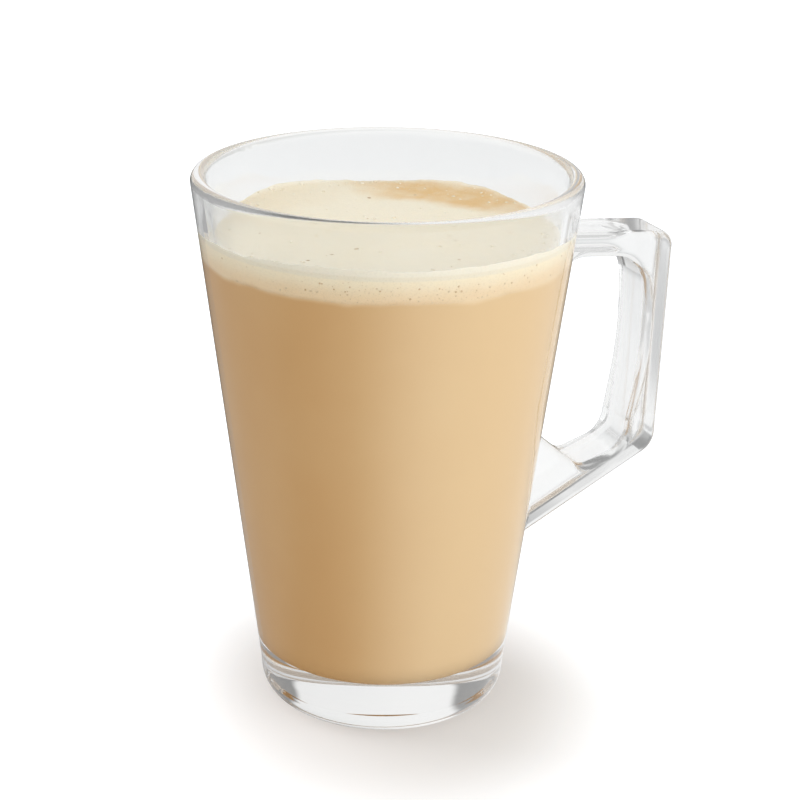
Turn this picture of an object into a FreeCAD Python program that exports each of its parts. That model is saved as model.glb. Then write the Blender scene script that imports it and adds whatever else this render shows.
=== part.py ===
import FreeCAD, Part
import math
import os

# A flat white in its clear glass mug, in millimetres.
# The mug stands on the plane Z = 0 with its axis on Z, and its handle points along +X.

# Mug body
HEIGHT = 116.0          # table to the top of the lip
RIM_RADIUS = 40.0       # widest radius, at the lip
FOOT_RADIUS = 25.6      # radius that the straight side would have at table level
WALL = 3.2              # side wall, and so the lip's width
BASE = 11.4             # from the table to the coffee
INNER_CORNER = 6.3      # radius between the inner wall and the inner bottom
FOOT_CORNER = 5.9       # radius between the underside and the side
FOOT_BULGE = 0.12       # how far the foot stands out past the straight side
FOOT_BLEND = 34.0       # hollow radius that leads from the foot's corner into the straight side
RECESS_RADIUS = 17.1    # of the flat recess under the mug, where its step meets the foot ring
RECESS_DEPTH = 1.4
STEP_RADIUS = 1.2       # of the step's two bends, each of which turns by an eighth of a circle

# Handle: a strip of glass round a finger gap
HANDLE_WIDTH = 13.5     # across the strip
HANDLE_EDGE = 1.8       # rounding of the strip's long edges
HANDLE_STAND = 23.8     # how far its outer top corner stands out past the rim
HANDLE_DROP = 17.0      # from the lip down to that corner
HANDLE_LENGTH = 48.9    # from that corner down to the elbow
HANDLE_LEAN = 1.8       # how far the elbow lies inwards of that corner
TOP_FALL = 0.08         # fall of the strip's top for each millimetre outwards
STRUT_SLOPE = 0.53      # fall of the strut under the elbow for each millimetre inwards
TOP_CORNER = 3.5        # radius of the outer top corner
ELBOW_CORNER = 5.5      # radius of the elbow
JOIN_FILLET = 2.4       # fillet where the handle grows out of the wall

# Finger gap: how thick the glass is round it, and its corner radii
STRIP_TOP = 5.6         # over the gap
STRIP_TOP_CORNER = 7.2  # beside the gap's upper outer corner
STRIP_MIDDLE = 5.0      # beside the gap's middle
STRIP_ELBOW = 8.1       # beside the gap's lower outer corner
STRUT_ELBOW = 5.2       # under that corner
STRUT_LOW = 7.3         # under the gap's lowest corner
LOW_CORNER_IN = 10.4    # from the lower outer corner in to the lowest corner
MIDDLE_LOW = 0.55       # how far the gap's middle lies under the handle's half height
GUSSET = 10.0           # rise of the glass from the lowest corner to the wall
GAP_TOP_RADIUS = 7.0
GAP_MIDDLE_RADIUS = 90.0
GAP_ELBOW_RADIUS = 6.0
GAP_LOW_RADIUS = 3.5
GUSSET_RADIUS = 5.0
RUN_SHARE = 0.98        # most of a straight run that the bends at its two ends may take

# Drink
FROTH_DROP = 11.4       # from the lip down to the froth, away from the glass
FROTH_THICKNESS = 5.4   # from there down to where the froth meets the coffee
FROTH_CLIMB = 0.7       # mean rise of the froth where it clings to the glass
FROTH_WAVES = (         # waves round the glass in that rise: how many, their height, their phase
    (1, 0.65, -111), (2, 0.63, 164), (3, 0.22, -130), (4, 0.33, 125), (5, 0.34, 180), (6, 0.24, -98),
)
FIT = 0.05              # gap between the drink and the glass
FROTH_TURNS = 72        # facets round the froth
FROTH_RINGS = (0.3, 0.6, 0.8, 0.9, 0.95, 0.98, 1.0)     # its rings, as shares of its radius
CLING = 14              # power of the share by which the froth rises towards the glass

LIP = WALL / 2
SIDE_SLOPE = (RIM_RADIUS - FOOT_RADIUS) / (HEIGHT - LIP)
LEAN = math.atan(SIDE_SLOPE)
FROTH_TOP = HEIGHT - FROTH_DROP
COFFEE_TOP = FROTH_TOP - FROTH_THICKNESS


def point(x, z):
    """A point of the XZ plane."""
    return FreeCAD.Vector(x, 0, z)


def line(a, b):
    """A straight edge."""
    return Part.makeLine(a, b)


def arc(a, middle, b):
    """An arc edge through three points."""
    return Part.Arc(a, middle, b).toShape()


def outer_radius(z):
    """Radius of the straight outer side at a height."""
    return FOOT_RADIUS + SIDE_SLOPE * z


def inner_radius(z):
    """Radius of the inner wall at a height over its rounded corner."""
    return outer_radius(z) - WALL


def rounded_outline(corners):
    """A closed wire in the XZ plane through (x, z, radius) corners, each rounded by its radius.

    Where a run is too short for the bends at its two ends, they are made smaller to fit it.
    """
    count = len(corners)
    places = [point(x, z) for x, z, _ in corners]
    runs = [places[(i + 1) % count] - places[i] for i in range(count)]
    half_angles = [(runs[i - 1] * -1).getAngle(runs[i]) / 2 for i in range(count)]
    reaches = [radius / math.tan(half) for (_, _, radius), half in zip(corners, half_angles)]
    taken = [(reaches[i] + reaches[(i + 1) % count]) / (RUN_SHARE * runs[i].Length) for i in range(count)]
    bends = []
    for i, corner in enumerate(places):
        shrink = max(1, taken[i - 1], taken[i])
        reach = reaches[i] / shrink
        radius = corners[i][2] / shrink
        back = (places[i - 1] - corner).normalize()
        ahead = (places[(i + 1) % count] - corner).normalize()
        inwards = (back + ahead).normalize()
        depth = radius / math.sin(half_angles[i]) - radius
        bends.append((corner + back * reach, corner + inwards * depth, corner + ahead * reach))
    edges = []
    for i, (start, middle, end) in enumerate(bends):
        if corners[i][2] > 0:
            edges.append(arc(start, middle, end))
        edges.append(line(end, bends[(i + 1) % count][0]))
    return Part.Wire(edges)


def turned(edges):
    """The solid of a closed profile turned round Z, with its seam on the side away from the handle."""
    solid = Part.Face(Part.Wire(edges)).revolve(FreeCAD.Vector(0, 0, 0), FreeCAD.Vector(0, 0, 1), 360)
    solid.rotate(FreeCAD.Vector(0, 0, 0), FreeCAD.Vector(0, 0, 1), 180)
    return solid


def inner_corner(floor, radius, gap):
    """Start, middle and end of the arc from a flat floor up to the inner wall less a gap."""
    turn = math.pi / 2 - LEAN
    foot = inner_radius(floor) - gap
    reach = radius * math.tan(turn / 2)
    start = point(foot - reach, floor)
    end = point(foot + reach * math.sin(LEAN), floor + reach * math.cos(LEAN))
    middle = start + point(radius * math.sin(turn / 2), radius * (1 - math.cos(turn / 2)))
    return start, middle, end


def foot_corner_centre():
    """Centre of the foot's corner, over the outer edge of the foot ring."""
    return point(outer_radius(FOOT_CORNER) - (FOOT_CORNER - FOOT_BULGE) / math.cos(LEAN), FOOT_CORNER)


def underside():
    """Edges of the underside from the axis outwards: flat recess, step and flat foot ring."""
    eighth = math.pi / 4
    reach = STEP_RADIUS * math.sin(eighth)
    fall = STEP_RADIUS * (1 - math.cos(eighth))
    run = RECESS_DEPTH - 2 * fall
    half_reach = STEP_RADIUS * math.sin(eighth / 2)
    half_fall = STEP_RADIUS * (1 - math.cos(eighth / 2))
    edge = RECESS_RADIUS - 2 * reach - run
    recess_edge = point(edge, RECESS_DEPTH)
    step_top = point(edge + reach, RECESS_DEPTH - fall)
    step_foot = point(RECESS_RADIUS - reach, fall)
    ring_in = point(RECESS_RADIUS, 0)
    return [
        line(point(0, RECESS_DEPTH), recess_edge),
        arc(recess_edge, recess_edge + point(half_reach, -half_fall), step_top),
        line(step_top, step_foot),
        arc(step_foot, ring_in + point(-half_reach, half_fall), ring_in),
        line(ring_in, point(foot_corner_centre().x, 0)),
    ]


def outer_side():
    """Edges of the outside from the foot ring up: foot corner, hollow blend and straight side."""
    outwards = point(math.cos(LEAN), -math.sin(LEAN))
    along = point(math.sin(LEAN), math.cos(LEAN))
    centre = foot_corner_centre()
    apart = FOOT_CORNER + FOOT_BLEND
    across = apart - FOOT_BULGE
    blend_centre = centre + outwards * across + along * math.sqrt(apart ** 2 - across ** 2)
    corner_end = centre + (blend_centre - centre).normalize() * FOOT_CORNER
    side_foot = blend_centre - outwards * FOOT_BLEND
    low = (corner_end - centre).normalize() + point(0, -1)
    corner_middle = centre + low.normalize() * FOOT_CORNER
    hollow = (corner_end - blend_centre).normalize() + (side_foot - blend_centre).normalize()
    blend_middle = blend_centre + hollow.normalize() * FOOT_BLEND
    return [
        arc(point(centre.x, 0), corner_middle, corner_end),
        arc(corner_end, blend_middle, side_foot),
        line(side_foot, point(RIM_RADIUS, HEIGHT - LIP)),
    ]


def mug_body():
    """The mug without its handle."""
    lip_out = point(RIM_RADIUS, HEIGHT - LIP)
    lip_in = point(RIM_RADIUS - WALL, HEIGHT - LIP)
    floor_edge, corner, wall_foot = inner_corner(BASE, INNER_CORNER, 0)
    inside = [
        arc(lip_out, point(RIM_RADIUS - LIP, HEIGHT), lip_in),
        line(lip_in, wall_foot),
        arc(wall_foot, corner, floor_edge),
        line(floor_edge, point(0, BASE)),
        line(point(0, BASE), point(0, RECESS_DEPTH)),
    ]
    return turned(underside() + outer_side() + inside)


def wall_core():
    """A cone that fills the mug out to the middle of its wall, to trim the handle's roots."""
    foot = point(outer_radius(0) - WALL / 2, 0)
    rim = point(outer_radius(HEIGHT) - WALL / 2, HEIGHT)
    axis_foot = point(0, 0)
    axis_rim = point(0, HEIGHT)
    return turned([line(axis_foot, foot), line(foot, rim), line(rim, axis_rim), line(axis_rim, axis_foot)])


def handle_outline():
    """Outer outline of the handle's slab, from the axis out to the elbow and back."""
    reach = RIM_RADIUS + HANDLE_STAND
    top = HEIGHT - HANDLE_DROP
    elbow_reach = reach - HANDLE_LEAN
    elbow = top - HANDLE_LENGTH
    root = outer_radius(0) / 2
    return rounded_outline([
        (root, top + TOP_FALL * (reach - root), 0),
        (reach, top, TOP_CORNER),
        (elbow_reach, elbow, ELBOW_CORNER),
        (root, elbow - STRUT_SLOPE * (elbow_reach - root), 0),
    ])


def finger_gap():
    """Outline of the finger gap, whose inner side runs just inside the mug's wall."""
    reach = RIM_RADIUS + HANDLE_STAND
    top = HEIGHT - HANDLE_DROP
    elbow_reach = reach - HANDLE_LEAN
    elbow = top - HANDLE_LENGTH

    def side(z):
        return reach - HANDLE_LEAN * (top - z) / HANDLE_LENGTH

    def gap_top(x):
        return top - STRIP_TOP + TOP_FALL * (reach - x)

    def strut(x):
        return elbow - STRUT_SLOPE * (elbow_reach - x)

    upper_x = reach - STRIP_TOP_CORNER
    middle = top - HANDLE_LENGTH / 2 - MIDDLE_LOW
    lower_x = elbow_reach - STRIP_ELBOW
    lowest_x = lower_x - LOW_CORNER_IN
    lowest = strut(lowest_x) + STRUT_LOW
    in_wall = WALL / 3
    gusset_top = lowest + GUSSET
    wall_x = outer_radius(top) - in_wall
    return rounded_outline([
        (wall_x, gap_top(wall_x), GAP_TOP_RADIUS),
        (upper_x, gap_top(upper_x), GAP_TOP_RADIUS),
        (side(middle) - STRIP_MIDDLE, middle, GAP_MIDDLE_RADIUS),
        (lower_x, strut(lower_x) + STRUT_ELBOW, GAP_ELBOW_RADIUS),
        (lowest_x, lowest, GAP_LOW_RADIUS),
        (outer_radius(gusset_top) - in_wall, gusset_top, GUSSET_RADIUS),
    ])


def handle_strip():
    """The handle alone: a slab less the finger gap, with its long edges rounded, trimmed in the wall."""
    across = FreeCAD.Vector(0, HANDLE_WIDTH, 0)
    slab = Part.Face(handle_outline()).extrude(across)
    gap = Part.Face(finger_gap()).extrude(across)
    strip = slab.cut(gap)
    strip.translate(across * -0.5)
    long_edges = [e for e in strip.Edges if abs(abs(e.CenterOfMass.y) - HANDLE_WIDTH / 2) < 0.001]
    return strip.makeFillet(HANDLE_EDGE, long_edges).cut(wall_core())


def on_wall(edge):
    """Whether an edge of the handle's joint lies on the straight outer side, off the seam."""
    count = 6
    for i in range(count + 1):
        share = i / count
        p = edge.valueAt(edge.FirstParameter * (1 - share) + edge.LastParameter * share)
        if p.x < 0 or abs(math.hypot(p.x, p.y) - outer_radius(p.z)) > 0.001:
            return False
    return abs(edge.CenterOfMass.y) < HANDLE_WIDTH


def glass():
    """The mug and its handle as one piece of pressed glass."""
    whole = mug_body().fuse(handle_strip()).removeSplitter().Solids[0]
    joint = [e for e in whole.Edges if on_wall(e)]
    return whole.makeFillet(JOIN_FILLET, joint)


def coffee():
    """The milky coffee, up to where the froth starts."""
    floor = BASE + FIT
    floor_edge, corner, wall_foot = inner_corner(floor, INNER_CORNER - FIT, FIT)
    edge = point(inner_radius(COFFEE_TOP) - FIT, COFFEE_TOP)
    return turned([
        line(point(0, floor), floor_edge),
        arc(floor_edge, corner, wall_foot),
        line(wall_foot, edge),
        line(edge, point(0, COFFEE_TOP)),
        line(point(0, COFFEE_TOP), point(0, floor)),
    ])


def froth_rise(angle):
    """How far the froth climbs the glass at an angle round it, in radians."""
    return FROTH_CLIMB + sum(high * math.cos(n * angle - math.radians(phase)) for n, high, phase in FROTH_WAVES)


def froth():
    """The froth: a faceted layer whose top rises unevenly where it clings to the glass."""
    turns = [2 * math.pi * i / FROTH_TURNS for i in range(FROTH_TURNS)]

    def ring_point(share, angle):
        rise = froth_rise(angle)
        radius = share * (inner_radius(FROTH_TOP + rise) - FIT)
        height = FROTH_TOP + rise * share ** CLING
        return FreeCAD.Vector(radius * math.cos(angle), radius * math.sin(angle), height)

    low_radius = inner_radius(COFFEE_TOP) - FIT
    low = [FreeCAD.Vector(low_radius * math.cos(a), low_radius * math.sin(a), COFFEE_TOP) for a in turns]
    rings = [low] + [[ring_point(share, a) for a in turns] for share in reversed(FROTH_RINGS)]
    centre = point(0, FROTH_TOP)
    faces = [Part.Face(Part.makePolygon(low + low[:1]))]
    for lower, upper in zip(rings, rings[1:]):
        for i in range(FROTH_TURNS):
            j = (i + 1) % FROTH_TURNS
            for corners in ((lower[i], lower[j], upper[j]), (lower[i], upper[j], upper[i])):
                faces.append(Part.Face(Part.makePolygon(corners + corners[:1])))
    for i in range(FROTH_TURNS):
        corners = (rings[-1][i], rings[-1][(i + 1) % FROTH_TURNS], centre)
        faces.append(Part.Face(Part.makePolygon(corners + corners[:1])))
    shell = Part.Shell(faces)
    shell.sewShape()
    return Part.Solid(shell)


def main():
    os.makedirs("parts", exist_ok=True)
    for name, solid in (("glass", glass()), ("coffee", coffee()), ("froth", froth())):
        solid.exportStep(f"parts/{name}.step")
        print(name, "valid" if solid.isValid() else "not valid", f"{solid.Volume / 1000:.1f} cm3")


main()
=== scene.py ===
"""The looks of a flat white in its clear glass mug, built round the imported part. Lengths are in metres."""

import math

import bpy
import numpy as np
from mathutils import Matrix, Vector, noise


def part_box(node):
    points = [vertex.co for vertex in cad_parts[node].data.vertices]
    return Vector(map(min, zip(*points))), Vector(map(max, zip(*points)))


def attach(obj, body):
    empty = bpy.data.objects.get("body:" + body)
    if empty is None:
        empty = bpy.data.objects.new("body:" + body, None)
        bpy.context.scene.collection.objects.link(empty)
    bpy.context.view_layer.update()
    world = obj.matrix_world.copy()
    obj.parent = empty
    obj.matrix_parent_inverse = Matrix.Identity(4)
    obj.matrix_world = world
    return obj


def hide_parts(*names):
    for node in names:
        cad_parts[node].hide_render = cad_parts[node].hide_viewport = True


bl_info = {
    "name": "Flat White in a Glass Mug",
    "version": (1, 0, 0),
    "blender": (4, 5, 0),
    "location": "3D View > Sidebar > Flat White",
    "description": "Builds the coffee, the froth and its bubbles, the glass finish and a plain stage",
    "category": "Object",
}

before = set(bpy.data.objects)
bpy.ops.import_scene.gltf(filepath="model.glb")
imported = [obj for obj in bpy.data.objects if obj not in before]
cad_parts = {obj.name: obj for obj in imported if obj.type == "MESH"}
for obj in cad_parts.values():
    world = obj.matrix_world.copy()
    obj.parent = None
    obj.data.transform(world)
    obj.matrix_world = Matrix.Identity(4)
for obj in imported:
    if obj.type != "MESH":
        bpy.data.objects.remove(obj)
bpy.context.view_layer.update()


# ---------------------------------------------------------------- sizes

MM = 0.001

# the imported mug
RIM_RADIUS = -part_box("glass")[0].x
HEIGHT = 116.0 * MM
WALL = 3.2 * MM
FOOT_RADIUS = 25.6 * MM
BASE = 11.4 * MM
INNER_CORNER = 6.3 * MM
SIDE_SLOPE = (RIM_RADIUS - FOOT_RADIUS) / (HEIGHT - WALL / 2)

# the drink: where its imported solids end, and the levels of the froth's top and the coffee's
COFFEE_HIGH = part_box("coffee")[1].z
FROTH_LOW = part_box("froth")[0].z
FROTH_TOP = HEIGHT - 11.4 * MM
COFFEE_TOP = FROTH_TOP - 5.4 * MM

# burst bubbles in the froth: x, y and half width in millimetres
PINHOLES = (
    (-22.8, -16.6, 0.45), (-17.2, -14.2, 0.35), (-11.5, -12.6, 0.5), (4.3, -26.1, 0.4), (4.2, 21.0, 0.45),
    (-13.3, 30.5, 0.35), (-7.8, 31.2, 0.3), (14.4, 20.0, 0.3), (-26.0, 4.0, 0.3), (9.0, -14.0, 0.25),
    (22.0, -12.0, 0.35), (-2.0, 6.0, 0.22), (-14.5, 12.5, 0.28),
)

# colours beside those in the settings
# painted reflection: the pale colour the drink takes in the glass's inner reflections
PAINTED_REFLECTION_PALE = (0.72, 0.70, 0.67)
WARM_CLOUD = (0.80, 0.70, 0.50)
FOAM_FILM = (0.88, 0.86, 0.78)
WALL_BUBBLE_FILM = (0.70, 0.56, 0.38)
TOP_BUBBLE, TOP_BUBBLE_FILM = (0.84, 0.79, 0.66), (0.74, 0.64, 0.46)
BURST_BUBBLE, BURST_BUBBLE_FILM = (0.42, 0.30, 0.17), (0.62, 0.50, 0.34)
WHITE = (1.0, 1.0, 1.0, 1.0)

# what the camera and two of the lamps are turned to, and the camera's small turns from it in radians
MIDDLE = (0.0, 0.0, 0.06)
ROLL, PAN, TILT = 0.0125, -0.00725, -0.01349

# name, place, what it is turned to, width, height and power
LAMPS = (
    ("key", (0.51, -0.79, 0.42), MIDDLE, 1.3, 0.8, 7.2),
    ("fill", (-0.95, -0.25, 0.35), MIDDLE, 0.9, 0.6, 0.9),
    ("top", (-0.40, 0.45, 1.0), (0.0, 0.0, 0.1), 0.6, 0.6, 4.0),
)


# ---------------------------------------------------------------- settings


class FlatWhiteDrink(bpy.types.PropertyGroup):
    """Sizes and colours of the coffee and its froth."""

    wall_overlap: bpy.props.FloatProperty(
        name="Overlap", description="How far the drink reaches into the glass, so that it wets it",
        default=0.12 * MM, unit="LENGTH")
    coffee_colour: bpy.props.FloatVectorProperty(
        name="Coffee", description="Milky coffee", default=(0.58, 0.344, 0.148), size=3, subtype="COLOR")
    # painted light: the coffee's paler colour on the side that faces the key lamp
    key_lit_colour: bpy.props.FloatVectorProperty(
        name="Key Lit Side", description="Coffee where more milk is left in it", default=(0.69, 0.49, 0.265),
        size=3, subtype="COLOR")
    froth_colour: bpy.props.FloatVectorProperty(
        name="Froth", description="Froth on top", default=(0.79, 0.725, 0.57), size=3, subtype="COLOR")
    froth_side_colour: bpy.props.FloatVectorProperty(
        name="Froth Side", description="Froth seen through the glass", default=(0.85, 0.755, 0.555), size=3,
        subtype="COLOR")
    froth_low_colour: bpy.props.FloatVectorProperty(
        name="Low Froth", description="Froth where it meets the coffee", default=(0.79, 0.612, 0.385),
        size=3, subtype="COLOR")
    crema_colour: bpy.props.FloatVectorProperty(
        name="Crema", description="Brown stain in the froth", default=(0.67, 0.435, 0.175),
        size=3, subtype="COLOR")
    bubble_colour: bpy.props.FloatVectorProperty(
        name="Bubbles", description="Coffee seen in the bubbles", default=(0.58, 0.40, 0.21), size=3,
        subtype="COLOR")
    border_softness: bpy.props.FloatProperty(
        name="Border Softness", description="Half the height over which froth turns to coffee",
        default=0.9 * MM, unit="LENGTH")
    seed: bpy.props.IntProperty(name="Seed", description="Of the bubbles' places and sizes", default=7)


class FlatWhiteStage(bpy.types.PropertyGroup):
    """The camera's place and lens."""

    azimuth: bpy.props.FloatProperty(
        name="Azimuth", description="Camera's way round the mug", default=math.radians(-22.0),
        unit="ROTATION")
    elevation: bpy.props.FloatProperty(
        name="Elevation", description="Camera's height over the horizon", default=0.3734, unit="ROTATION")
    distance: bpy.props.FloatProperty(
        name="Distance", description="From the camera to the mug's middle", default=0.4449, unit="LENGTH")
    lens: bpy.props.FloatProperty(
        name="Lens", description="Focal length in millimetres", default=94.46, unit="CAMERA")


# ---------------------------------------------------------------- meshes


def around(turns):
    """The angles of that many even steps round the mug."""
    return [2 * math.pi * i / turns for i in range(turns)]


def quads(rings, turns, first=0):
    """Faces between rings of places, which follow each other from the place with the number first."""
    faces = []
    for k in range(rings - 1):
        a = first + k * turns
        b = a + turns
        for i in range(turns):
            j = (i + 1) % turns
            faces.append((a + i, a + j, b + j, b + i))
    return faces


def closed_body(bottom, rings, top, first=0):
    """Places and faces of a body of rings between two poles, numbered from first."""
    turns = len(rings[0])
    places = [bottom]
    for ring in rings:
        places.extend(ring)
    places.append(top)
    low = first + 1
    high = low + (len(rings) - 1) * turns
    faces = quads(len(rings), turns, low)
    for i in range(turns):
        j = (i + 1) % turns
        faces.append((first, low + j, low + i))
        faces.append((high + i, high + j, high + turns))
    return places, faces


def mesh_object(name, places, faces, smooth=True):
    """A new object at the origin with that mesh."""
    mesh = bpy.data.meshes.new(name)
    mesh.from_pydata(places, [], faces)
    mesh.validate()
    if smooth:
        mesh.shade_smooth()
        mesh.set_sharp_from_angle(angle=math.radians(50))
    piece = bpy.data.objects.new(name, mesh)
    bpy.context.scene.collection.objects.link(piece)
    return piece


def lathe(name, profile, turns):
    """A closed solid of a profile of (radius, height) points that starts and ends on the axis."""
    angles = around(turns)
    rings = []
    for radius, height in profile[1:-1]:
        rings.append([(radius * math.cos(a), radius * math.sin(a), height) for a in angles])
    return mesh_object(name, *closed_body((0.0, 0.0, profile[0][1]), rings, (0.0, 0.0, profile[-1][1])))


# ---------------------------------------------------------------- shape of the drink


def inner_radius(z):
    """Radius of the glass's inner wall at a height."""
    return FOOT_RADIUS + SIDE_SLOPE * z - WALL


def coffee_profile(over):
    """The coffee's half section: a flat bottom, a round corner, the tapered side and a flat top."""
    bottom = BASE - over
    corner = INNER_CORNER + over
    turn = math.pi / 2 - math.atan(SIDE_SLOPE)
    flat = inner_radius(bottom) + over - corner * math.tan(turn / 2)
    profile = [(0.0, bottom), (flat - 8 * MM, bottom)]
    corner_steps = 16
    for i in range(corner_steps + 1):
        a = turn * i / corner_steps
        profile.append((flat + corner * math.sin(a), bottom + corner * (1 - math.cos(a))))
    start = profile[-1][1]
    side_steps = 12
    for i in range(1, side_steps + 1):
        z = start + (COFFEE_HIGH - start) * i / side_steps
        profile.append((inner_radius(z) + over, z))
    profile.append((0.0, COFFEE_HIGH))
    return profile


def at_wall(angle, z, over):
    """A place at a height that reaches into the glass's inner wall."""
    r = inner_radius(z) + over
    return r * math.cos(angle), r * math.sin(angle), z


def on_froth(angle, rise, share, over):
    """A place on the froth's top, at a share of the way out. Its rise at the glass soon fades inwards."""
    r = share * (inner_radius(FROTH_TOP + rise) + over)
    x, y = r * math.cos(angle), r * math.sin(angle)
    return x, y, FROTH_TOP + rise * share ** 14 + uneven(x, y)


def hills(x, y, height, fineness, layer):
    """Smooth random ups and downs of about that height, others in each layer."""
    return height * noise.noise((x * fineness, y * fineness, layer))


def uneven(x, y):
    """Small hills of the froth's top, coarse and fine."""
    return hills(x, y, 0.22 * MM, 110, 0.5) + hills(x, y, 0.07 * MM, 480, 1.5)


def froth_edge():
    """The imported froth's rise along the glass, as a function of the angle round it."""
    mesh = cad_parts["froth"].data
    places = np.array([v.co for v in mesh.vertices])
    radii = np.hypot(places[:, 0], places[:, 1])
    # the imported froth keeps 0.05 mm off the wall, and only the upper end of its side counts
    near = 0.06 * MM
    on_wall = (radii > inner_radius(places[:, 2]) - near) & (places[:, 2] > FROTH_LOW + MM)
    angles = np.arctan2(places[on_wall, 1], places[on_wall, 0])
    rises = places[on_wall, 2] - FROTH_TOP
    order = np.argsort(angles)
    angles, rises = angles[order], rises[order]
    return lambda a: float(np.interp(a, angles, rises, period=2 * math.pi))


def froth_rises(angles):
    """How far the froth climbs the glass at each angle, with its fine ragged edge."""
    edge = froth_edge()
    rises = []
    for a in angles:
        x, y = math.cos(a), math.sin(a)
        ragged = hills(x, y, 0.28 * MM, 9, 2.5) + hills(x, y, 0.13 * MM, 34, 5.5)
        rises.append(edge(a) + ragged)
    return rises


def froth_rings(over):
    """Rings of places up the froth's side and then over its top, almost to the middle."""
    angles = around(384)
    rises = froth_rises(angles)
    rings = [[at_wall(a, FROTH_LOW, over) for a in angles]]
    steps = 10
    for k in range(1, steps + 1):
        heights = [FROTH_LOW + (FROTH_TOP + rise - FROTH_LOW) * k / steps for rise in rises]
        rings.append([at_wall(a, z, over) for a, z in zip(angles, heights)])
    # close together near the glass, where the froth curls up, and even further in
    shares = [0.997, 0.992, 0.985, 0.975, 0.965, 0.955, 0.945, 0.93, 0.915, 0.9]
    shares += [0.9 - 0.03 * i for i in range(1, 30)]
    for share in shares:
        rings.append([on_froth(a, rise, share, over) for a, rise in zip(angles, rises)])
    return rings


def burst_bubble(x, y, wide, first):
    """Places and faces of a small uneven lens that lies in the froth's top, numbered from first."""
    z = FROTH_TOP + uneven(x, y)
    deep = 0.25 * wide
    rings = []
    for up in (math.radians(-45), 0.0, math.radians(45)):
        ring = []
        for a in around(12):
            r = wide * math.cos(up) * (1 + 0.15 * math.sin(2 * a + x / MM))
            ring.append((x + r * math.cos(a), y + r * math.sin(a), z + deep * math.sin(up)))
        rings.append(ring)
    return closed_body((x, y, z - deep), rings, (x, y, z + deep), first)


# ---------------------------------------------------------------- node trees


class Tree:
    """Short calls for the nodes of a material, a world or a geometry tree."""

    def __init__(self, tree):
        self.nodes, self.links = tree.nodes, tree.links
        self.nodes.clear()

    def node(self, kind, inputs=(), **settings):
        """A new node, with its settings, and with a value or a link for each input named."""
        made = self.nodes.new(kind)
        for key, value in settings.items():
            setattr(made, key, value)
        for key, value in dict(inputs).items():
            if isinstance(value, bpy.types.NodeSocket):
                self.links.new(value, made.inputs[key])
            else:
                made.inputs[key].default_value = value
        return made

    def math(self, kind, a, b=0.0, c=0.0):
        """A sum or other step of arithmetic."""
        return self.node("ShaderNodeMath", {0: a, 1: b, 2: c}, operation=kind).outputs[0]

    def product(self, first, *others):
        """All of them multiplied."""
        for other in others:
            first = self.math("MULTIPLY", first, other)
        return first

    def ramp(self, value, low, high, start=0.0, end=1.0):
        """A soft step from start to end between two values."""
        inputs = {"Value": value, "From Min": low, "From Max": high, "To Min": start, "To Max": end}
        return self.node("ShaderNodeMapRange", inputs, interpolation_type="SMOOTHSTEP").outputs["Result"]

    def band(self, value, low, high, soft):
        """One between two values and nought outside, with soft edges."""
        up = self.ramp(value, low - soft, low + soft)
        return self.math("MULTIPLY", up, self.ramp(value, high - soft, high + soft, 1.0, 0.0))

    def blend(self, factor, a, b, kind="MIX"):
        """A colour between two colours, or their product at that strength."""
        made = self.node("ShaderNodeMix", data_type="RGBA", blend_type=kind)
        for socket, value in ((made.inputs[0], factor), (made.inputs[6], a), (made.inputs[7], b)):
            if isinstance(value, bpy.types.NodeSocket):
                self.links.new(value, socket)
            elif isinstance(value, float):
                socket.default_value = value
            else:
                socket.default_value = (*value, 1.0)
        return made.outputs[2]

    def noise(self, place, scale, detail=2.0):
        """A soft noise of about one half."""
        inputs = {"Vector": place, "Scale": scale, "Detail": detail}
        return self.node("ShaderNodeTexNoise", inputs).outputs[0]

    def wander(self, value, waves, reach):
        """A value that a noise moves to and fro over that reach."""
        return self.math("MULTIPLY_ADD", waves, reach, self.math("SUBTRACT", value, reach / 2))

    def place(self):
        """Object coordinates, and their three parts."""
        here = self.node("ShaderNodeTexCoord").outputs["Object"]
        parts = self.node("ShaderNodeSeparateXYZ", {0: here}).outputs
        return here, parts[0], parts[1], parts[2]

    def light_path(self):
        """What kind of ray it is, and how far it has come."""
        return self.node("ShaderNodeLightPath").outputs


# ---------------------------------------------------------------- looks


def new_material(name):
    """A new material and its empty tree."""
    made = bpy.data.materials.new(name)
    made.use_nodes = True
    return made, Tree(made.node_tree)


def glass_material():
    """Clear pressed glass, slightly wavy, which lets the lamps through to what it holds."""
    made, tree = new_material("Clear pressed glass")
    here, x, _, z = tree.place()
    waves = tree.noise(here, 55.0, 1.0)
    bump = tree.node("ShaderNodeBump", {"Strength": 1.0, "Distance": 0.08 * MM, "Height": waves})
    # the handle and the lip are a little dull, which softens what shows in them
    on_handle = tree.ramp(x, 41 * MM, 45 * MM)
    on_lip = tree.ramp(z, HEIGHT - 5 * MM, HEIGHT - 3 * MM)
    dullness = tree.math("MAXIMUM", tree.product(on_handle, 0.12), tree.product(on_lip, 0.11))
    glass = tree.node("ShaderNodeBsdfPrincipled", {
        "Base Color": (0.95, 0.955, 0.95, 1), "Roughness": dullness, "IOR": 1.5,
        "Transmission Weight": 1.0, "Normal": bump.outputs[0]})
    clear = tree.node("ShaderNodeBsdfTransparent", {"Color": (0.93, 0.93, 0.93, 1)})
    path = tree.light_path()
    through = tree.math("MAXIMUM", path["Is Shadow Ray"], path["Is Diffuse Ray"])
    # a ray that has run round inside the glass a few times is let out, where it would go black
    through = tree.math("MAXIMUM", through, tree.math("GREATER_THAN", path["Glossy Depth"], 2.5))
    through = tree.math("MAXIMUM", through, tree.math("GREATER_THAN", path["Ray Depth"], 9.5))
    mix = tree.node("ShaderNodeMixShader", {0: through, 1: glass.outputs[0], 2: clear.outputs[0]})
    tree.node("ShaderNodeOutputMaterial", {"Surface": mix.outputs[0]})
    return made


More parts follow.
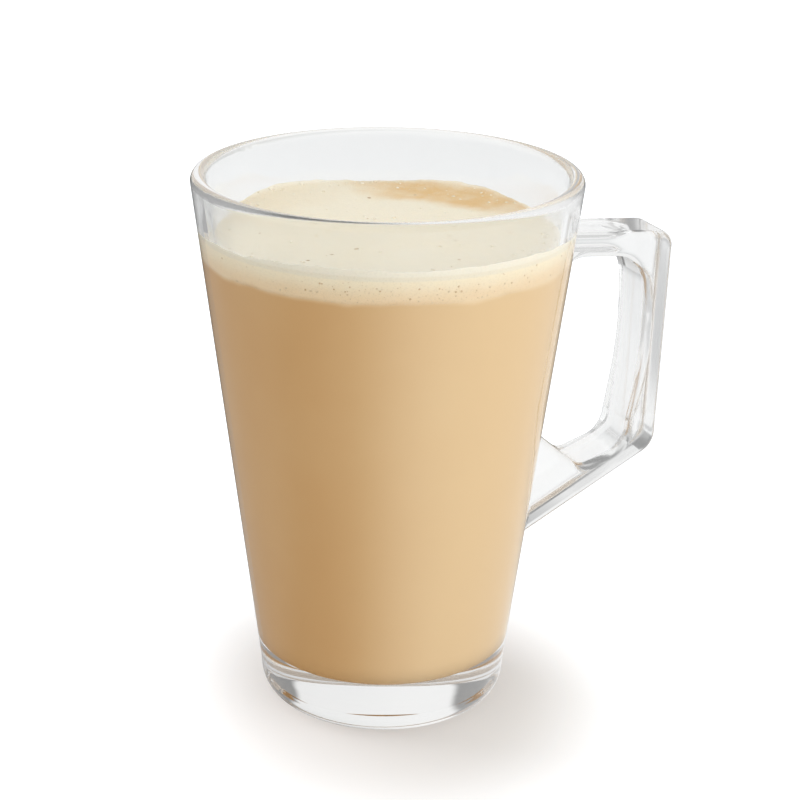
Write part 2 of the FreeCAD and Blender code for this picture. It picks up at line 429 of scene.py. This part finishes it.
def froth_share(tree, here, z, softness):
    """How much of the drink is froth at a height: nought in the coffee, one in the froth."""
    wave = tree.math("MULTIPLY_ADD", tree.noise(here, 60.0, 3.0), 3.2 * MM, -1.6 * MM)
    return tree.ramp(tree.math("SUBTRACT", z, wave), COFFEE_TOP - softness, COFFEE_TOP + softness)


def coffee_look(tree, drink, here, x, y):
    """Colour of the coffee, with painted light that makes it paler on the side facing the key lamp, and
    faintly clouded.
    """
    # painted light: the coffee is painted paler on the side that faces the key lamp
    key_lit_side = math.radians(-52)
    apart = tree.math("COSINE", tree.math("SUBTRACT", tree.math("ARCTAN2", y, x), key_lit_side))
    milky = tree.ramp(apart, 0.0, 0.95)
    clouds = tree.ramp(tree.noise(here, 28.0, 3.0), 0.35, 0.75, 0.0, 0.16)
    return tree.blend(tree.math("MINIMUM", tree.math("ADD", milky, clouds), 1.0),
                      drink.coffee_colour, drink.key_lit_colour)


def paler_in_reflections(tree, colour, share):
    """Painted reflection: pales a colour for rays that ran round inside the lip, the handle or the base
    before they met it.
    """
    ran_round = tree.math("GREATER_THAN", tree.light_path()["Glossy Depth"], 1.5)
    return tree.blend(tree.product(ran_round, share), colour, PAINTED_REFLECTION_PALE)


def coffee_material(drink):
    """Opaque milky coffee, which pales where the froth starts."""
    made, tree = new_material("Milky coffee")
    here, x, y, z = tree.place()
    colour = tree.blend(froth_share(tree, here, z, drink.border_softness),
                        coffee_look(tree, drink, here, x, y), drink.froth_low_colour)
    # painted reflection: the coffee is paler where the glass mirrors it
    colour = paler_in_reflections(tree, colour, 0.7)
    skin = tree.node("ShaderNodeBsdfPrincipled", {
        "Base Color": colour, "Roughness": 0.5, "Specular IOR Level": 0.0})
    tree.node("ShaderNodeOutputMaterial", {"Surface": skin.outputs[0]})
    return made


def froth_body_look(tree, drink, place, on_top):
    """Colour of the froth without its stains: tan over the coffee, cream at the glass and paler on top."""
    here, x, y, z = place
    height = tree.math("MULTIPLY_ADD", tree.noise(here, 160.0, 3.0), 2.0 * MM, z)
    rising = tree.ramp(height, COFFEE_TOP + 1.6 * MM, COFFEE_TOP + 6.2 * MM)
    cream = tree.blend(rising, drink.froth_low_colour, drink.froth_side_colour)
    cream = tree.blend(on_top, cream, drink.froth_colour)
    return tree.blend(froth_share(tree, here, z, drink.border_softness),
                      coffee_look(tree, drink, here, x, y), cream)


def crema_stains(tree, drink, place, radius, on_top, colour):
    """Stains the top with a brown patch of crema, faint yellow clouds and a second, faint patch."""
    here, x, y, _ = place
    stretch = tree.noise(here, 70.0, 4.0)
    ring = tree.band(tree.wander(radius, stretch, 12.0 * MM), 21.0 * MM, 34.8 * MM, 3.2 * MM)
    way = tree.wander(tree.math("ARCTAN2", y, x), stretch, 0.9)
    blur = 0.25
    patch = tree.product(ring, tree.band(way, math.radians(0), math.radians(73), blur), on_top)
    streaks = tree.ramp(tree.noise(here, 260.0, 3.0), 0.25, 0.6, 0.72, 1.0)
    colour = tree.blend(tree.product(patch, streaks), colour, drink.crema_colour)
    clouds = tree.product(tree.ramp(tree.noise(here, 48.0, 3.0), 0.45, 0.7, 0.0, 0.22), on_top)
    colour = tree.blend(clouds, colour, WARM_CLOUD)
    second = tree.product(tree.band(way, math.radians(98), math.radians(150), blur), ring, on_top)
    return tree.blend(tree.product(second, 0.10), colour, drink.crema_colour)


def foam_film(tree, radius, z, colour):
    """Pales the froth where it has climbed and clings to the glass."""
    wall = tree.math("MULTIPLY_ADD", z, SIDE_SLOPE, FOOT_RADIUS - WALL)
    near = tree.ramp(tree.math("SUBTRACT", wall, radius), 0.1 * MM, 1.6 * MM, 0.35, 0.0)
    climbed = tree.ramp(z, FROTH_TOP + 0.1 * MM, FROTH_TOP + 0.6 * MM)
    return tree.blend(tree.product(near, climbed), colour, FOAM_FILM)


def froth_material(drink):
    """Fine milk froth, stained with crema on its top and grained all over by bubbles too small to model."""
    made, tree = new_material("Milk froth")
    place = here, x, y, z = tree.place()
    radius = tree.math("SQRT", tree.math("ADD", tree.product(x, x), tree.product(y, y)))
    on_top = tree.ramp(z, FROTH_TOP - 0.8 * MM, FROTH_TOP - 0.3 * MM)
    colour = froth_body_look(tree, drink, place, on_top)
    colour = crema_stains(tree, drink, place, radius, on_top, colour)
    colour = foam_film(tree, radius, z, colour)
    grain = tree.node("ShaderNodeTexVoronoi", {"Vector": here, "Scale": 2100.0}).outputs["Distance"]
    colour = tree.blend(1.0, colour, tree.ramp(grain, 0.0, 0.55, 0.93, 1.0), kind="MULTIPLY")
    # painted reflection: the froth is paler where the glass mirrors it
    colour = paler_in_reflections(tree, colour, 0.6)
    relief = tree.math("ADD", tree.product(grain, 0.35), tree.noise(here, 420.0, 3.0))
    bump = tree.node("ShaderNodeBump", {"Strength": 0.6, "Distance": 0.12 * MM, "Height": relief})
    skin = tree.node("ShaderNodeBsdfPrincipled", {
        "Base Color": colour, "Roughness": 0.42, "Specular IOR Level": 0.4,
        "Subsurface Weight": 0.25, "Subsurface Scale": 1.2 * MM, "Subsurface Radius": (1.0, 0.8, 0.6),
        "Normal": bump.outputs[0]})
    tree.node("ShaderNodeOutputMaterial", {"Surface": skin.outputs[0]})
    return made


def bubble_material(name, inner, film, roughness):
    """Bubbles of two colours, which change from place to place."""
    made, tree = new_material(name)
    here = tree.place()[0]
    mixed = tree.blend(tree.ramp(tree.noise(here, 900.0), 0.35, 0.65), inner, film)
    skin = tree.node("ShaderNodeBsdfPrincipled", {
        "Base Color": mixed, "Roughness": roughness, "Specular IOR Level": 0.5})
    tree.node("ShaderNodeOutputMaterial", {"Surface": skin.outputs[0]})
    return made


# ---------------------------------------------------------------- scattered bubbles


def bubble_tree():
    """Geometry nodes that scatter flattened bubbles over a surface, mostly small ones."""
    group = bpy.data.node_groups.new("Bubbles", "GeometryNodeTree")
    kinds = {"Surface": "Geometry", "Density": "Float", "Smallest": "Float", "Largest": "Float",
             "Flatness": "Float", "Seed": "Int", "Material": "Material"}
    for name, kind in kinds.items():
        group.interface.new_socket(name, in_out="INPUT", socket_type="NodeSocket" + kind)
    group.interface.new_socket("Bubbles", in_out="OUTPUT", socket_type="NodeSocketGeometry")
    tree = Tree(group)
    start = tree.node("NodeGroupInput").outputs
    crowd = tree.node("GeometryNodeInputNamedAttribute", {"Name": "crowd"}, data_type="FLOAT").outputs[0]
    points = tree.node("GeometryNodeDistributePointsOnFaces", {
        "Mesh": start["Surface"], "Density": tree.product(start["Density"], crowd),
        "Seed": start["Seed"]}).outputs
    chance = tree.node("FunctionNodeRandomValue", {"Seed": start["Seed"]}).outputs[1]
    size = tree.node("ShaderNodeMapRange", {
        "Value": tree.math("POWER", chance, 3.0), "To Min": start["Smallest"],
        "To Max": start["Largest"]}).outputs[0]
    scale = tree.node("ShaderNodeCombineXYZ", {
        0: size, 1: size, 2: tree.product(size, start["Flatness"])}).outputs[0]
    ball = tree.node("GeometryNodeMeshUVSphere", {"Segments": 8, "Rings": 6, "Radius": 1.0}).outputs["Mesh"]
    smooth = tree.node("GeometryNodeSetShadeSmooth", {"Geometry": ball}).outputs[0]
    copies = tree.node("GeometryNodeInstanceOnPoints", {
        "Points": points["Points"], "Instance": smooth, "Rotation": points["Rotation"],
        "Scale": scale}).outputs[0]
    real = tree.node("GeometryNodeRealizeInstances", {0: copies}).outputs[0]
    look = tree.node("GeometryNodeSetMaterial", {"Geometry": real, "Material": start["Material"]}).outputs[0]
    tree.node("NodeGroupOutput", {0: look})
    return group


def scatter(name, rings, tree, crowd, settings):
    """The bubbles on a surface of rings. crowd gives each of its places a share of the density."""
    places = [place for ring in rings for place in ring]
    piece = mesh_object(name, places, quads(len(rings), len(rings[0])))
    attribute = piece.data.attributes.new("crowd", "FLOAT", "POINT")
    attribute.data.foreach_set("value", crowd)
    modifier = piece.modifiers.new("Bubbles", "NODES")
    modifier.node_group = tree
    for item in tree.interface.items_tree:
        if item.in_out == "INPUT" and item.name in settings:
            modifier[item.identifier] = settings[item.name]
    evaluated = piece.evaluated_get(bpy.context.evaluated_depsgraph_get())
    mesh = bpy.data.meshes.new_from_object(evaluated)
    piece.modifiers.clear()
    piece.data = mesh
    mesh.name = piece.name
    return piece


def wall_crowd(angle, z):
    """Bubbles at the glass crowd low in the froth, most of all at its front."""
    middle, spread = 255, 24
    apart = (math.degrees(angle) - middle + 180) % 360 - 180
    front = math.exp(-apart ** 2 / (2 * spread ** 2))
    low = max(0.0, 1 - (z - COFFEE_TOP) / (5.2 * MM))
    return (0.08 + 0.92 * front) * (0.15 + 0.85 * low)


def froth_crowd(x, y, share):
    """Bubbles on the froth crowd in loose patches and along the glass."""
    patch = max(0.0, hills(x, y, 1.0, 90, 3.7))
    along_glass = max(0.0, share - 0.86) / 0.13
    return 0.1 + 0.5 * patch + 2.2 * along_glass


# ---------------------------------------------------------------- pieces


class FW_OT_glass(bpy.types.Operator):
    """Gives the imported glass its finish"""

    bl_idname = "flat_white.glass"
    bl_label = "Glass"

    def execute(self, context):
        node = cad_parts["glass"]
        node.data.materials.clear()
        node.data.materials.append(glass_material())
        return {"FINISHED"}


class FW_OT_coffee(bpy.types.Operator):
    """Pours the coffee"""

    bl_idname = "flat_white.coffee"
    bl_label = "Coffee"

    def execute(self, context):
        drink = context.scene.flat_white_drink
        piece = lathe("milky_coffee", coffee_profile(drink.wall_overlap), turns=256)
        piece.data.materials.append(coffee_material(drink))
        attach(piece, "root")
        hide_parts("coffee")
        return {"FINISHED"}


class FW_OT_froth(bpy.types.Operator):
    """Lays the froth"""

    bl_idname = "flat_white.froth"
    bl_label = "Froth"

    def execute(self, context):
        drink = context.scene.flat_white_drink
        rings = froth_rings(drink.wall_overlap)
        top = (0.0, 0.0, FROTH_TOP + uneven(0, 0))
        piece = mesh_object("milk_froth", *closed_body((0.0, 0.0, FROTH_LOW), rings, top))
        piece.data.materials.append(froth_material(drink))
        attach(piece, "root")
        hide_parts("froth")
        return {"FINISHED"}


class FW_OT_bubbles(bpy.types.Operator):
    """Scatters the bubbles against the glass and on the froth"""

    bl_idname = "flat_white.bubbles"
    bl_label = "Bubbles"

    def execute(self, context):
        drink = context.scene.flat_white_drink
        over = drink.wall_overlap
        tree = bubble_tree()
        angles = around(180)

        rings, crowd = [], []
        for above in (0.2, 1.0, 2.0, 3.0, 4.0, 4.8):
            z = COFFEE_TOP + above * MM
            rings.append([at_wall(a, z, over) for a in angles])
            crowd.extend(wall_crowd(a, z) for a in angles)
        look = bubble_material("Bubble at the glass", drink.bubble_colour, WALL_BUBBLE_FILM, roughness=0.4)
        piece = scatter("wall_bubbles", rings, tree, crowd, {
            "Density": 1.5e6, "Smallest": 0.05 * MM, "Largest": 0.26 * MM, "Flatness": 0.5,
            "Seed": drink.seed, "Material": look})
        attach(piece, "root")

        rises = froth_rises(angles)
        rings, crowd = [], []
        for share in (0.985, 0.965, 0.93, 0.88, 0.8, 0.7, 0.6, 0.5, 0.4, 0.3, 0.2, 0.1):
            ring = [on_froth(a, rise, share, over) for a, rise in zip(angles, rises)]
            rings.append(ring)
            crowd.extend(froth_crowd(x, y, share) for x, y, _ in ring)
        look = bubble_material("Bubble on the froth", TOP_BUBBLE, TOP_BUBBLE_FILM, roughness=0.12)
        piece = scatter("froth_bubbles", rings, tree, crowd, {
            "Density": 1.9e5, "Smallest": 0.09 * MM, "Largest": 0.5 * MM, "Flatness": 0.5,
            "Seed": drink.seed + 1, "Material": look})
        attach(piece, "root")
        return {"FINISHED"}


class FW_OT_pinholes(bpy.types.Operator):
    """Opens a few burst bubbles in the froth"""

    bl_idname = "flat_white.pinholes"
    bl_label = "Pinholes"

    def execute(self, context):
        places, faces = [], []
        for x, y, wide in PINHOLES:
            more_places, more_faces = burst_bubble(x * MM, y * MM, wide * MM, len(places))
            places.extend(more_places)
            faces.extend(more_faces)
        piece = mesh_object("pinholes", places, faces)
        look = bubble_material("Burst bubble", BURST_BUBBLE, BURST_BUBBLE_FILM, roughness=0.5)
        piece.data.materials.append(look)
        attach(piece, "root")
        return {"FINISHED"}


# ---------------------------------------------------------------- stage


def line_of_sight(azimuth, elevation):
    """The way from the camera's place to the middle of the mug."""
    return Vector((-math.sin(azimuth) * math.cos(elevation), math.cos(azimuth) * math.cos(elevation),
                   -math.sin(elevation)))


def camera_axes(azimuth, elevation, roll, pan, tilt):
    """Right, up and forward of the camera, turned a little from the line of sight."""
    right = Vector((math.cos(azimuth), math.sin(azimuth), 0))
    forward = line_of_sight(azimuth, elevation)
    up = right.cross(forward)
    x = math.cos(roll) * right + math.sin(roll) * up
    y = -math.sin(roll) * right + math.cos(roll) * up
    right = math.cos(pan) * x + math.sin(pan) * forward
    z = -math.sin(pan) * x + math.cos(pan) * forward
    up = math.cos(tilt) * y + math.sin(tilt) * z
    forward = -math.sin(tilt) * y + math.cos(tilt) * z
    return right, up, forward


def add_camera(stage):
    """The camera, which looks down at the mug from the front."""
    view = bpy.data.cameras.new("Camera")
    view.lens = stage.lens
    view.sensor_width = 36.0
    view.clip_start = 0.01
    view.clip_end = 50.0
    camera = bpy.data.objects.new("Camera", view)
    bpy.context.scene.collection.objects.link(camera)
    right, up, forward = camera_axes(stage.azimuth, stage.elevation, ROLL, PAN, TILT)
    place = Vector(MIDDLE) - line_of_sight(stage.azimuth, stage.elevation) * stage.distance
    axes = Matrix((right, up, -forward)).transposed().to_4x4()
    camera.matrix_world = Matrix.Translation(place) @ axes
    bpy.context.scene.camera = camera


def area_lamp(name, place, target, width, height, power):
    """A lamp that is neither seen nor mirrored, nor seen through glass."""
    light = bpy.data.lights.new(name, "AREA")
    light.shape = "RECTANGLE"
    light.size = width
    light.size_y = height
    light.energy = power
    lamp = bpy.data.objects.new(name, light)
    lamp.location = place
    lamp.rotation_mode = "QUATERNION"
    lamp.rotation_quaternion = (Vector(target) - Vector(place)).to_track_quat("-Z", "Y")
    lamp.visible_camera = False
    lamp.visible_glossy = False
    lamp.visible_transmission = False
    bpy.context.scene.collection.objects.link(lamp)


def studio_walls(tree):
    """How bright the studio is each way: pale, but dim at the back round a bright panel, and white above."""
    place = tree.node("ShaderNodeTexCoord").outputs["Generated"]
    x, y, z = tree.node("ShaderNodeSeparateXYZ", {0: place}).outputs
    way = tree.math("ARCTAN2", x, y)
    panel = tree.product(tree.band(way, math.radians(-7), math.radians(59), 0.05), 0.80)
    dim = tree.product(tree.band(way, math.radians(-36), math.radians(88), 0.12), 0.42)
    level = tree.math("ADD", tree.math("SUBTRACT", 0.80, dim), panel)
    return tree.math("MAXIMUM", level, tree.ramp(z, 0.70, 0.85))


def sky():
    """White to the camera, a lit studio to what mirrors and bends, and an even light to what is dull."""
    world = bpy.data.worlds.new("Studio")
    bpy.context.scene.world = world
    world.use_nodes = True
    tree = Tree(world.node_tree)
    path = tree.light_path()
    studio = tree.node("ShaderNodeBackground", {"Strength": studio_walls(tree)}).outputs[0]
    dull = tree.node("ShaderNodeBackground", {"Color": WHITE, "Strength": 0.68}).outputs[0]
    white = tree.node("ShaderNodeBackground", {"Color": WHITE, "Strength": 1.0}).outputs[0]
    sharp = tree.math("MAXIMUM", path["Is Glossy Ray"], path["Is Transmission Ray"])
    lit = tree.node("ShaderNodeMixShader", {0: sharp, 1: dull, 2: studio}).outputs[0]
    shown = tree.node("ShaderNodeMixShader", {0: path["Is Camera Ray"], 1: lit, 2: white}).outputs[0]
    tree.node("ShaderNodeOutputWorld", {"Surface": shown})


def glow_round_painted_shadow(tree, x, y, azimuth):
    """The floor's own light to the camera, weak round the foot and full further out, a little off centre: a
    painted shadow beside the real one.
    """
    cos, sin = math.cos(azimuth), math.sin(azimuth)
    side = tree.math("MULTIPLY_ADD", x, cos, tree.product(y, sin))
    ahead = tree.math("MULTIPLY_ADD", y, cos, tree.product(x, -sin))
    side = tree.product(tree.math("SUBTRACT", side, 3 * MM), 1.35)
    ahead = tree.math("ADD", ahead, 4 * MM)
    away = tree.math("SQRT", tree.math("MULTIPLY_ADD", side, side, tree.product(ahead, ahead)))
    return tree.ramp(away, 31 * MM, 83 * MM, 0.05, 0.53)


def painted_floor_reflection(tree, x, y):
    """Painted reflection: how bright the floor is to what mirrors it: white at the front right, grey
    opposite, dark between.
    """
    front_right = math.radians(-40)
    apart = tree.math("COSINE", tree.math("SUBTRACT", tree.math("ARCTAN2", y, x), front_right))
    bright = tree.ramp(apart, -0.1, 0.75, 0.15, 1.0)
    return tree.math("MAXIMUM", bright, tree.ramp(apart, -0.95, -0.6, 0.45, 0.15))


def floor_material(azimuth):
    """A pale floor that keeps the shadow, with looks of its own to the camera, to glass and to mirrors: a
    painted shadow round the foot, a painted dark patch and a painted reflection.
    """
    made, tree = new_material("Pale floor")
    _, x, y, _ = tree.place()
    path = tree.light_path()
    dull = tree.node("ShaderNodeBsdfDiffuse", {"Color": (0.80, 0.80, 0.80, 1)}).outputs[0]
    # painted shadow: the floor's glow to the camera is weaker round the foot
    glow = tree.product(path["Is Camera Ray"], glow_round_painted_shadow(tree, x, y, azimuth))
    glow = tree.math("MAXIMUM", glow, tree.product(path["Is Transmission Ray"], 0.13))
    glow = tree.node("ShaderNodeEmission", {"Color": (0.90, 0.95, 1.0, 1), "Strength": glow}).outputs[0]
    plain = tree.node("ShaderNodeAddShader", {0: dull, 1: glow}).outputs[0]
    # a painted dark patch: what is seen through the glass is darker in one place behind the mug
    painted_dark_patch = tree.product(tree.ramp(x, 20 * MM, 100 * MM, 1.0, 0.0), tree.band(y, 170 * MM, 330 * MM, 20 * MM))
    painted_dark_patch = tree.product(painted_dark_patch, path["Is Transmission Ray"], 0.36)
    dark = tree.node("ShaderNodeEmission", {"Strength": 0.0}).outputs[0]
    plain = tree.node("ShaderNodeMixShader", {0: painted_dark_patch, 1: plain, 2: dark}).outputs[0]
    # painted reflection: the floor glows only for what mirrors it
    mirrored = tree.node("ShaderNodeEmission", {"Strength": painted_floor_reflection(tree, x, y)}).outputs[0]
    mirror = tree.math("SUBTRACT", path["Is Glossy Ray"], path["Is Transmission Ray"])
    mirror = tree.math("MAXIMUM", mirror, 0.0)
    mix = tree.node("ShaderNodeMixShader", {0: mirror, 1: plain, 2: mirrored}).outputs[0]
    tree.node("ShaderNodeOutputMaterial", {"Surface": mix})
    return made


class FW_OT_stage(bpy.types.Operator):
    """Sets the floor, the light and the camera"""

    bl_idname = "flat_white.stage"
    bl_label = "Stage"

    def execute(self, context):
        stage = context.scene.flat_white_stage
        # it lies a hair under the foot, so that the two do not mix
        far, low = 3.0, -0.05 * MM
        corners = [(-far, -far, low), (far, -far, low), (far, far, low), (-far, far, low)]
        floor = mesh_object("floor", corners, [(0, 1, 2, 3)], smooth=False)
        floor.data.materials.append(floor_material(stage.azimuth))
        sky()
        for lamp in LAMPS:
            area_lamp(*lamp)
        add_camera(stage)
        context.scene.view_settings.view_transform = "Standard"
        return {"FINISHED"}


# ---------------------------------------------------------------- add-on

OPERATORS = (FW_OT_glass, FW_OT_coffee, FW_OT_froth, FW_OT_bubbles, FW_OT_pinholes, FW_OT_stage)


class FW_PT_panel(bpy.types.Panel):
    """Lists the pieces and their settings"""

    bl_label = "Flat White"
    bl_idname = "FW_PT_panel"
    bl_space_type = "VIEW_3D"
    bl_region_type = "UI"
    bl_category = "Flat White"

    def draw(self, context):
        for operator in OPERATORS:
            self.layout.operator(operator.bl_idname)
        for settings in (context.scene.flat_white_drink, context.scene.flat_white_stage):
            column = self.layout.column()
            for name in type(settings).__annotations__:
                column.prop(settings, name)


CLASSES = (FlatWhiteDrink, FlatWhiteStage, *OPERATORS, FW_PT_panel)


def register():
    for cls in CLASSES:
        bpy.utils.register_class(cls)
    bpy.types.Scene.flat_white_drink = bpy.props.PointerProperty(type=FlatWhiteDrink)
    bpy.types.Scene.flat_white_stage = bpy.props.PointerProperty(type=FlatWhiteStage)


def unregister():
    del bpy.types.Scene.flat_white_stage
    del bpy.types.Scene.flat_white_drink
    for cls in reversed(CLASSES):
        bpy.utils.unregister_class(cls)


def main():
    register()
    bpy.ops.flat_white.glass()
    bpy.ops.flat_white.coffee()
    bpy.ops.flat_white.froth()
    bpy.ops.flat_white.bubbles()
    bpy.ops.flat_white.pinholes()
    bpy.ops.flat_white.stage()


if __name__ == "__main__":
    main()
